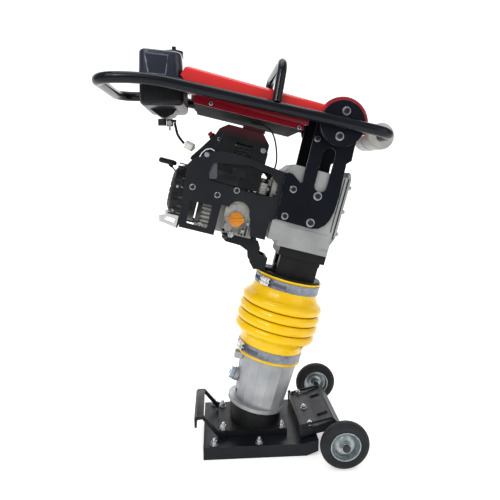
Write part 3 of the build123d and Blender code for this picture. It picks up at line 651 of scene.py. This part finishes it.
# ---- bellows ----
def bellows_profile():
    """Outer (radius, height): plain cuffs, and four swollen folds between narrow creases."""
    crease = [(109.5, 343.0), (114.0, 377.0), (114.5, 408.0), (113.0, 437.0), (110.5, 470.0)]
    swell = [(125.0, 2.6, 2.0), (126.5, 2.0, 2.0), (126.0, 2.0, 2.0), (124.0, 2.0, 2.6)]
    pts = [(CUFF_R + 2.5, 277.0), (CUFF_R + 2.5, 281.0), (CUFF_R - 0.1, 282.0), (CUFF_R - 0.1, 312.0)]
    for k in range(1, 8):
        t = k / 8
        pts.append((CUFF_R + (crease[0][0] - CUFF_R) * t * t, 314 + (crease[0][1] - 314) * t))
    for (r0, h0), (r1, h1), (top, low_pow, high_pow) in zip(crease, crease[1:], swell):
        steps = 18
        for k in range(steps + 1):
            u = -math.cos(math.pi * k / steps)
            base = r0 if u < 0 else r1
            power = low_pow if u < 0 else high_pow
            lift = (1 - abs(u) ** power) ** 0.5
            if (u < 0 and h0 == crease[0][1]) or (u > 0 and h1 == crease[-1][1]):
                lift = math.cos(u * math.pi / 2) ** 0.9
            pts.append((base + (top - base) * lift, (h0 + h1) / 2 + u * (h1 - h0) / 2))
    last_r, last_h = crease[-1]
    for k in range(1, 8):
        t = k / 8
        pts.append((last_r - (last_r - CUFF_R) * (1 - (1 - t) ** 2), last_h + (497 - last_h) * t))
    pts += [(CUFF_R - 0.1, 498.0), (CUFF_R - 0.1, 529.0), (CUFF_R + 2.5, 530.0), (CUFF_R + 2.5, 534.0)]
    return pts


def bellows_material():
    m = Mat("bellows_yellow", coat=0.35, coat_rough=0.06, spec=0.25)
    attr = m.node("ShaderNodeAttribute", attribute_name="crease")
    tone = m.mix(m.ramp(m.noise(7, 4), 0.35, 0.7), rgb(242, 198, 0), rgb(234, 184, 0))
    # the creases turn deep orange: painted shade
    m.colour(m.mix(attr.outputs["Fac"], tone, rgb(136, 66, 0)))
    m.rough(0.16, 0.28, 20)
    m.bump(m.noise(120, 4), 0.12, 0.0008)
    return m.m


def make_bellows():
    outer = bellows_profile()
    wall = 3.0
    inner = [(r - wall, h) for r, h in reversed(outer)]
    profile = outer + inner
    verts, faces = lathe(profile, STEM, 160)
    obj = build("bellows_cover", verts, faces, None, bellows_material())
    n = len(profile)
    creases = (377.0, 408.0, 437.0)
    # painted shade weight: 1 at each inner crease, fading out within 2.2 mm
    crease_shade = []
    for r, h in profile:
        near = min(abs(h - c) for c in creases)
        crease_shade.append(max(0.0, 1 - near / 2.2))
    attr = obj.data.attributes.new("crease", "FLOAT", "POINT")
    attr.data.foreach_set("value", [crease_shade[i % n] for i in range(len(verts))])
    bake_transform(obj)
    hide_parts("bellows")


make_bellows()


# ---- clamp bands ----
def make_clamp(name, node, body, low, high, angle):
    kit = Kit()
    band = [(CUFF_R + 0.05, low), (CUFF_R + 1.4, low), (CUFF_R + 1.7, low + 1.2), (BAND_R - 0.2, low + 2.4)]
    band += [(BAND_R - 0.2, high - 2.4), (CUFF_R + 1.7, high - 1.2)]
    band += [(CUFF_R + 1.4, high), (CUFF_R + 0.05, high)]
    kit.add(lathe(band, STEM, 160), "band")
    mid = (low + high) / 2
    turn = STEM @ Matrix.Rotation(math.radians(angle), 4, "Z")

    def at(x, y, z):
        return turn @ moved(x, y, z)

    kit.add(brick(at(-102.8, 0, mid), (5.0, 30, 24), 1.4), "bright_zinc")
    for rise in (-5.5, 5.5):
        kit.add(brick(at(-108.2, 0, mid + rise), (12.6, 20, 9.6), 2.2, 3), "bright_zinc")
        screw = at(-108, -19, mid + rise) @ TURN_Y
        head = [(0.01, 0), (4.6, 0), (4.9, 0.5), (4.9, 4.0), (3.4, 4.2), (3.0, 7), (0.01, 7)]
        kit.add(lathe(head, screw, 24), "bright_zinc")
        kit.add(prism(screw @ Matrix.Translation((0, 0, -1.2 * MM)), 7.0, 3.0, 0.6), "dark_steel")
        kit.add(lathe([(0.01, 29), (2.4, 29), (2.4, 36), (0.01, 36)], screw, 16), "bright_zinc")
    for k in range(14):
        a = math.radians(16 + k * 1.7)
        for flip in (1, -1):
            slot = STEM @ Matrix.Rotation(math.radians(angle) + flip * a, 4, "Z")
            slot = slot @ moved(-BAND_R - 0.05, 0, mid) @ Matrix.Rotation(math.radians(8), 4, "X")
            kit.add(brick(slot, (0.5, 1.3, 11), 0.2, 1), "dark_steel")
    kit.piece(name, body, (node,))


make_clamp("lower_band", "lower_clamp", "foot", 285, 311, 24)
make_clamp("upper_band", "upper_clamp", "upper", 499, 526, 42)


# ---- engine and casting details the CAD leaves plain ----
OUTWARD = TURN_Y @ Matrix.Rotation(math.pi, 4, "X")     # a lathe's z axis onto -y


def stem_at(t, y, s):
    return STEM @ moved(t, y, s)


def make_details():
    """Ribs, fins and bosses on the engine, its covers and the gearcase, and a bright strip along the fan
    cowl's curve as a painted highlight.
    """
    kit = Kit()
    for k in range(5):
        kit.add(brick(stem_at(-166 + 5.2 * k, -74, 684 - 2 * k), (2.2, 26, 58 - 7 * k), 0.7), "engine_alu")
    kit.add(lathe(rounded(drum(13, 16), 3, 3), stem_at(-222, -62, 643) @ OUTWARD, 32), "engine_alu")
    neck = [(10, 0), (13, 0)]
    for k in range(6):
        neck += [(13, 5 * k + 1), (14.5, 5 * k + 1.6), (14.5, 5 * k + 3.6), (13, 5 * k + 4.2)]
    neck += [(13, 32), (10, 32)]
    kit.add(lathe(neck, stem_at(-152, -66, 754), 36), "engine_alu")
    for k in range(7):
        y = -54 + 18 * k
        kit.add(brick(stem_at(-296, y, 676), (40, 3.0, 88), 1.0), "engine_alu")
    kit.piece("engine_casting_ribs", "upper", ())

    kit = Kit()
    for k in range(5):
        z = 843 + 9.0 * k
        for side in (-1, 1):
            louvre = stem_at(-232 + k * 0.6, side * 84.2, z - 2.2)
            kit.add(brick(louvre, (46 - 2 * k, 2.4, 1.6), 0.6), "black_plastic")
    for side in (-1, 1):
        for t, s, turn, length, _ in runs([(-296, 894), (-300, 864), (-318, 842)]):
            kit.add(brick(stem_at(t, side * 84, s) @ turn, (3.2, 3.0, length + 2), 1.0), "black_plastic")
    for t, y, s in ((-326, -90.1, 823), (-178, -83.2, 872)):
        flat = stem_at(t, y, s) @ OUTWARD
        kit.add(lathe([(2, 0), (7, 0), (7, 1.2), (2, 1.4)], flat, 28), "stud_zinc")
        kit.add(prism(flat @ Matrix.Translation((0, 0, MM)), 9, 4, 0.8), "stud_zinc")
    arc = [(-341, 800), (-344, 812), (-340, 825), (-331, 836), (-320, 841), (-308, 838)]
    for t, s, turn, length, start in runs(arc):
        # the strip's upper runs are bright zinc as a painted highlight, the lower runs black
        shine = "bright_zinc" if start > 810 else "black_plastic"
        kit.add(brick(stem_at(t, -91.0, s) @ turn, (2.4, 2.2, length + 1), 0.6), shine)
    for k in range(6):
        kit.add(brick(stem_at(-164, -60 + 24 * k, 838 + 8 * (k % 2)), (5, 13, 62), 1.5), "black_plastic")
    kit.piece("shroud_ribs", "upper", ())

    kit = Kit()
    for k in range(18):
        a = math.radians(20 * k)
        turn = stem_at(0, 0, SHAFT_S) @ Matrix.Rotation(a, 4, "X")
        kit.add(brick(turn @ moved(-362, 0, 78.4), (26, 5, 2.6), 0.9), "gloss_black")
        if k % 3 == 1:
            cap = turn @ moved(-384, 0, 72.5) @ Matrix.Rotation(math.radians(-30), 4, "Y")
            kit.add(prism(cap, 7.5, 3.6, 0.7), "stud_zinc")
    kit.piece("recoil_ribs", "upper", ())

    kit = Kit()
    for side in (-1, 1):
        kit.add(brick(stem_at(-90, side * 84, 735), (3, 3, 190), 1.2), "case_alu")
        kit.add(brick(stem_at(60, side * 85.5, 642), (22, 4, 5), 1.4), "case_alu")
        kit.add(brick(stem_at(0, side * 85.5, 686), (120, 3, 3), 1.2), "case_alu")
        kit.add(brick(stem_at(80.6, side * 82.6, 768), (9.6, 5.6, 168), 1.6), "case_alu")
        kit.add(brick(stem_at(77.2, side * 84.4, 768), (3.0, 3.4, 178), 0.6), "black_cast")
        kit.add(brick(stem_at(66.5, side * 86.2, 776), (2.6, 1.0, 158), 0.4), "black_cast")
        for at in (696, 762, 832):
            boss = rounded(drum(10.5, 8.4), 1.6, 2)
            kit.add(lathe(boss, stem_at(78.6, side * 72, at) @ TURN_X, 28), "case_alu")
    kit.piece("gearcase_ribs", "upper", ())


# ---- springs and starter rope ----
def tube_faces(steps, sides, flip=False):
    """The side faces between steps + 1 rings of a tube."""
    faces = []
    for k in range(steps):
        for i in range(sides):
            j = (i + 1) % sides
            a, b, c, d = k * sides + i, (k + 1) * sides + i, (k + 1) * sides + j, k * sides + j
            faces.append((a, d, c, b) if flip else (a, b, c, d))
    return faces


def make_springs():
    """Two coil springs between the foot and the ram's piston."""
    wire, coil, sides, steps = 5.0, 38.0, 12, 260
    for name, low, high, turns, ends in (("lower_coil", 137.2, 330.8, 6.5, ("foot", "ram")),
                                         ("upper_coil", 349.2, 547.8, 7.0, ("ram", "foot"))):
        verts = []
        rise = high - low - 2 * wire
        for k in range(steps + 1):
            a = 2 * math.pi * turns * k / steps
            out = Vector((math.cos(a), math.sin(a), 0))
            centre = out * coil + Vector((0, 0, low + wire + rise * k / steps))
            for i in range(sides):
                b = 2 * math.pi * i / sides
                round_wire = out * math.cos(b) + Vector((0, 0, math.sin(b)))
                verts.append(STEM @ ((centre + round_wire * wire) * MM))
        faces = tube_faces(steps, sides)
        faces += [tuple(range(sides)), tuple(reversed(range(steps * sides, (steps + 1) * sides)))]
        obj = build(name, verts, faces, None, "steel", True, 40)
        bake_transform(obj)
        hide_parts("ram_springs")


def make_starter_rope():
    """The stretch of rope between the grip and the housing."""
    inner, outer = Vector((-396, 0, 750)), Vector((-416, 0, 765))
    run = outer - inner
    place, verts = facing(inner, run), []
    steps, sides, twist = 60, 10, 0.9
    for k in range(steps + 1):
        for i in range(sides):
            a = 2 * math.pi * i / sides + twist * k
            r = 2.0 + 0.25 * math.cos(3 * (a - twist * k) + twist * k)
            point = Vector((r * math.cos(a), r * math.sin(a), run.length * k / steps))
            verts.append(STEM @ place @ (point * MM))
    obj = build("starter_rope_line", verts, tube_faces(steps, sides, True), None, "rope")
    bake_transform(obj)
    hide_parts("starter_rope")


make_springs()
make_starter_rope()


# ---- wheel bracket and the small parts round the engine ----
def make_bracket_trim():
    """Welded lip, side rails and gussets of the transport wheels' bracket."""
    kit = Kit()
    for side in (-1, 1):
        lower, upper = Vector((126, side * 110, 79)), Vector((218, side * 110, 101))
        rail = drum(3.6, (upper - lower).length)
        kit.add(lathe(rounded(rail, 1.2, 2), facing(lower, upper - lower), 20), "foot_black")
        kit.add(brick(moved(120, side * 113, 64), (9, 9, 42), 1.5), "foot_black")
    kit.add(lathe(drum(4.2, 234), facing((121, -117, 77.5), (0, 1, 0)), 20), "foot_black")
    kit.add(lathe(drum(2.6, 234), facing((221, -117, 98.2), (0, 1, 0)), 20), "foot_black")
    for y in (-60, 60):
        tilt = moved(196, y, 92.6) @ Matrix.Rotation(math.radians(-19), 4, "Y")
        kit.add(brick(tilt, (34, 6, 4), 1.2), "foot_black")
    kit.piece("bracket_trim", "foot", ())


make_details()
make_bracket_trim()


def make_controls():
    """Brackets, screws, shroud panels, carburettor fittings, filler cap knurl and starter grip."""
    kit = Kit()
    for t, w in ((-184, 3.0), (-175, 3.0), (-166, 3.0)):
        kit.add(brick(stem_at(t, -76, 654), (w, 20, 54), 0.8), "engine_alu")
    kit.add(brick(stem_at(-174, -70, 668), (30, 8, 22), 1.5), "engine_alu")
    kit.add(brick(stem_at(-176, -72, 630), (26, 14, 6), 1.2), "dark_steel")
    for t, s, r in ((-179, 640, 5.5), (-170, 664, 4.5), (-136, 657, 6.5), (-209, 622, 9.0)):
        y = -86 if r < 6 else -70
        kit.add(prism(stem_at(t, y, s) @ OUTWARD, r * 1.8, 6, 0.8), "stud_zinc")
    kit.add(brick(stem_at(-222, -60, 612), (14, 22, 12), 3.0), "dark_steel")
    kit.add(brick(stem_at(-226, -81.2, 690), (30, 2.4, 38), 1.0), "engine_alu")
    kit.add(brick(stem_at(-312, -60, 665), (14, 20, 64), 2.0), "gloss_black")
    kit.add(lathe(rounded(drum(9, 8), 1.5, 2), stem_at(-300, -72, 628) @ OUTWARD, 24), "stud_zinc")
    kit.piece("engine_fittings", "upper", ())

    kit = Kit()
    panel = stem_at(-300, -84, 786) @ Matrix.Rotation(math.radians(-14), 4, "Y")
    kit.add(brick(panel, (24, 3, 48), 1.2), "panel_grey")
    kit.add(brick(stem_at(-254, -84.5, 774), (64, 3, 34), 2.0), "black_plastic")
    kit.add(brick(stem_at(-228, -85.5, 797), (40, 2, 22), 1.6), "black_plastic")
    kit.piece("shroud_panels", "upper", ())

    kit = Kit()
    for k in range(3):
        kit.add(brick(stem_at(-178 + 6 * k, -50, 775 - 3 * k), (3.0, 16, 26 - 4 * k), 0.8), "engine_alu")
    collar = stem_at(-136, -47.5, 772) @ OUTWARD
    kit.add(lathe([(6, 0), (12, 0), (12, 3), (6, 4)], collar, 32), "dark_steel")
    kit.add(prism(stem_at(-136, -49, 772) @ OUTWARD, 9, 6, 0.8), "stud_zinc")
    kit.add(brick(stem_at(-168, -46, 752), (34, 12, 7), 1.5), "engine_alu")
    kit.add(brick(stem_at(-122, -52, 760), (9, 12, 20), 2.0), "engine_alu")
    kit.add(prism(stem_at(-152, -50, 760) @ OUTWARD, 7, 6, 0.8), "stud_zinc")
    kit.piece("carburettor_fittings", "upper", ())

    kit = Kit()
    face = stem_at(-205, -91.6, 669) @ OUTWARD
    knurl = [(0.01, 0.0), (17.6, 0.0), (19.2, 1.0), (19.6, 3.4), (18.4, 4.6), (13.6, 5.4), (0.01, 5.8)]
    kit.add(lathe(knurl, face @ Matrix.Translation((0, 0, -MM)), 48), "orange")
    for k in range(20):
        turn = face @ Matrix.Rotation(math.radians(18 * k), 4, "Z")
        kit.add(brick(turn @ moved(19.4, 0, 0.8), (1.4, 2.0, 4.6), 0.5), "orange")
    fin = stem_at(-203, -98.4, 670) @ Matrix.Rotation(math.radians(-14), 4, "Y")
    kit.add(brick(fin, (40, 6.4, 6.6), 2.2, 3), "orange")
    kit.piece("filler_cap_knurl", "oil_cap", ())

    kit = Kit()
    lie = stem_at(-459, 0, 778) @ TURN_X @ Matrix.Diagonal((0.72, 1.0, 1.0, 1.0))
    body = [(0.01, 0), (6.5, 0.6), (9.6, 3.4), (11.0, 9)]
    for k in range(6):
        z = 4.5 * k
        body += [(11.2, 12 + z), (10.3, 13.4 + z), (10.3, 14.6 + z), (11.2, 16 + z)]
    body += [(10.6, 42), (8.4, 49), (5.0, 52), (0.01, 52)]
    kit.add(lathe(body, lie, 48), "black_plastic")
    neck = [(0.01, 0), (6.2, 0), (5.6, 4), (4.2, 9), (2.4, 12.6), (0.01, 12.6)]
    hang = stem_at(-426, 0, 772.5) @ Matrix.Rotation(math.radians(127), 4, "Y")
    kit.add(lathe(neck, hang, 32), "black_plastic")
    kit.piece("starter_handle", "starter", ("starter_grip",))


make_controls()


# ---- wheels ----
def make_wheel(side, name):
    place = Matrix.Translation((AXLE_X * MM, side * TRACK / 2 * MM, AXLE_Z * MM)) @ TURN_Y
    if side < 0:
        place = place @ Matrix.Rotation(math.pi, 4, "X")
    w, r = WHEEL_W / 2, WHEEL_R
    tread = [(46, -w + 4), (52, -w + 1.5), (58, -w + 0.6), (64, -w + 2.4)]
    tread += [(r - 2.5, -w + 7), (r - 0.4, -w + 12)]
    tread += [(r, -w + 16), (r, w - 16), (r - 0.4, w - 12), (r - 2.5, w - 7), (64, w - 2.4), (58, w - 0.6)]
    tread += [(52, w - 1.5), (46, w - 4), (42.6, w - 5), (41.5, w - 7), (41.5, -w + 7), (42.6, -w + 5)]
    verts, faces = lathe(rounded(tread, 2.5, 3), place)
    tyre = build(f"tyre_{name}_rubber", verts, faces, f"wheel_{name}", "tyre")
    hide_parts(f"tyre_{name}")
    dish = [(8.2, -w - 1), (12.6, -w - 1), (12.6, 2), (15, 3.5), (21, 4.5), (26, 1.5)]
    dish += [(32, -2.5), (37.5, -3.5), (39, -w + 6), (40.2, -w + 3), (43.4, -w + 3.2)]
    dish += [(43.4, -w + 5.2), (41.4, -w + 6.4), (41.4, w - 6.4), (43.4, w - 5.2), (43.4, w - 3.2)]
    dish += [(40.2, w - 3), (39, w - 6), (38, 0.5), (33, 3), (27, 7.5), (21, 11.0)]
    dish += [(15, 9.5), (12.6, 9), (12.6, w + 1), (8.2, w + 1)]
    verts, faces = lathe(rounded(dish, 1.0, 2), place)
    rim = build(f"rim_{name}_pressing", verts, faces, f"wheel_{name}", "rim_zinc")
    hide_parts(f"rim_{name}")


make_wheel(-1, "right")
make_wheel(1, "left")


# ---- fuel hose and throttle cable ----
# The CAD's routes in metres. The cable's first four points are lifted or moved forward by up to
# 8 mm from the CAD's, so that it clears the engine shroud when the handle flexes.
FUEL = [(-0.2365, -0.010, 0.969), (-0.233, -0.0135, 0.951), (-0.227, -0.026, 0.930), (-0.211, -0.038, 0.912)]
CABLE = [(-0.020, -0.060, 0.967), (0.018, -0.054, 0.962), (0.045, -0.046, 0.936),
         (0.054, -0.042, 0.880), (0.050, -0.044, 0.842), (0.034, -0.052, 0.815)]


def hose(name, points, diameter, node, material, sides=10):
    """A round hose along a smooth curve with the given control points; returns it and its path."""
    curve = bpy.data.curves.new(name, "CURVE")
    curve.dimensions = "3D"
    curve.resolution_u = 16
    spline = curve.splines.new("NURBS")
    spline.points.add(len(points) - 1)
    for p, co in zip(spline.points, points):
        p.co = (*co, 1)
    spline.order_u = 3
    spline.use_endpoint_u = True
    holder = bpy.data.objects.new(name, curve)
    line = bpy.data.meshes.new_from_object(holder)
    path = [v.co.copy() for v in line.vertices]
    verts, faces = [], []
    up = Vector((0, 1, 0))
    for i, p in enumerate(path):
        along = (path[min(i + 1, len(path) - 1)] - path[max(i - 1, 0)]).normalized()
        side = along.cross(up).normalized()
        up = side.cross(along).normalized()
        for k in range(sides):
            a = 2 * math.pi * k / sides
            verts.append(p + (side * math.cos(a) + up * math.sin(a)) * diameter / 2)
    for i in range(len(path) - 1):
        for k in range(sides):
            j = (k + 1) % sides
            faces.append((i * sides + k, i * sides + j, (i + 1) * sides + j, (i + 1) * sides + k))
    faces.append(tuple(reversed(range(sides))))
    faces.append(tuple(range((len(path) - 1) * sides, len(path) * sides)))
    bpy.data.objects.remove(holder)
    obj = build(name, verts, faces, None, material)
    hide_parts(node)
    return obj, [tuple(p) for p in path]


def make_hoses():
    obj, path = hose("fuel_hose_line", FUEL, 0.0072, "fuel_hose", "hose", 14)
    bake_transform(obj)
    obj, path = hose("throttle_cable_line", CABLE, 0.0048, "throttle_cable", "hose", 12)
    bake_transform(obj)


make_hoses()


# ---- camera, lights and floor ----
def make_stage():
    """The camera at the photograph's angle, five soft lamps, a pale world and a curved floor."""
    scene = bpy.context.scene
    data = bpy.data.cameras.new("camera")
    data.sensor_width = 36
    data.lens = 35.14
    camera = bpy.data.objects.new("camera", data)
    camera.location = (-0.1244, -1.4556, 0.8376)
    camera.rotation_euler = (math.radians(80.635), math.radians(0.18), math.radians(-4.062))
    scene.collection.objects.link(camera)
    scene.camera = camera
    lamps = [("key", (-1.7, -2.2, 2.9), 2.2, 44), ("fill", (2.2, -2.0, 1.4), 2.2, 16),
             ("top", (0.0, 0.2, 3.4), 2.2, 34), ("back", (0.6, 2.4, 2.4), 2.2, 20),
             ("glint", (-1.0, -2.3, 2.4), 0.4, 12)]
    for name, at, size, power in lamps:
        lamp = bpy.data.lights.new(name, "AREA")
        lamp.shape = "SQUARE"
        lamp.size = size
        lamp.energy = power
        obj = bpy.data.objects.new(name, lamp)
        obj.location = at
        obj.rotation_euler = (Vector((0, 0, 0.55)) - Vector(at)).to_track_quat("-Z", "Y").to_euler()
        scene.collection.objects.link(obj)
    world = bpy.data.worlds.new("studio")
    world.use_nodes = True
    world.node_tree.nodes["Background"].inputs["Color"].default_value = (1.0, 1.0, 1.0, 1)
    world.node_tree.nodes["Background"].inputs["Strength"].default_value = 0.42
    scene.world = world
    scene.view_settings.view_transform = "Standard"
    m = Mat("floor_white")
    m.colour(m.mix(m.ramp(m.noise(2, 3), 0.3, 0.7), (0.86, 0.86, 0.86, 1), (0.84, 0.84, 0.84, 1)))
    m.rough(0.6, 0.7, 5)
    m.p.inputs["Emission Color"].default_value = (1, 1, 1, 1)
    m.p.inputs["Emission Strength"].default_value = 0.45
    MATS["floor_white"] = m.m
    half, back, height = 6.0, 3.0, 5.0
    prof = [(-half, 0.0)] + [(back - 1.5 + 1.5 * math.sin(a), 1.5 - 1.5 * math.cos(a))
                             for a in (math.pi / 2 * k / 12 for k in range(13))] + [(back, height)]
    verts = [(x, y, z - 0.0005) for y, z in prof for x in (-half, half)]
    faces = [(2 * i, 2 * i + 1, 2 * i + 3, 2 * i + 2) for i in range(len(prof) - 1)]
    floor = build("floor", verts, faces, None, "floor_white")


make_stage()
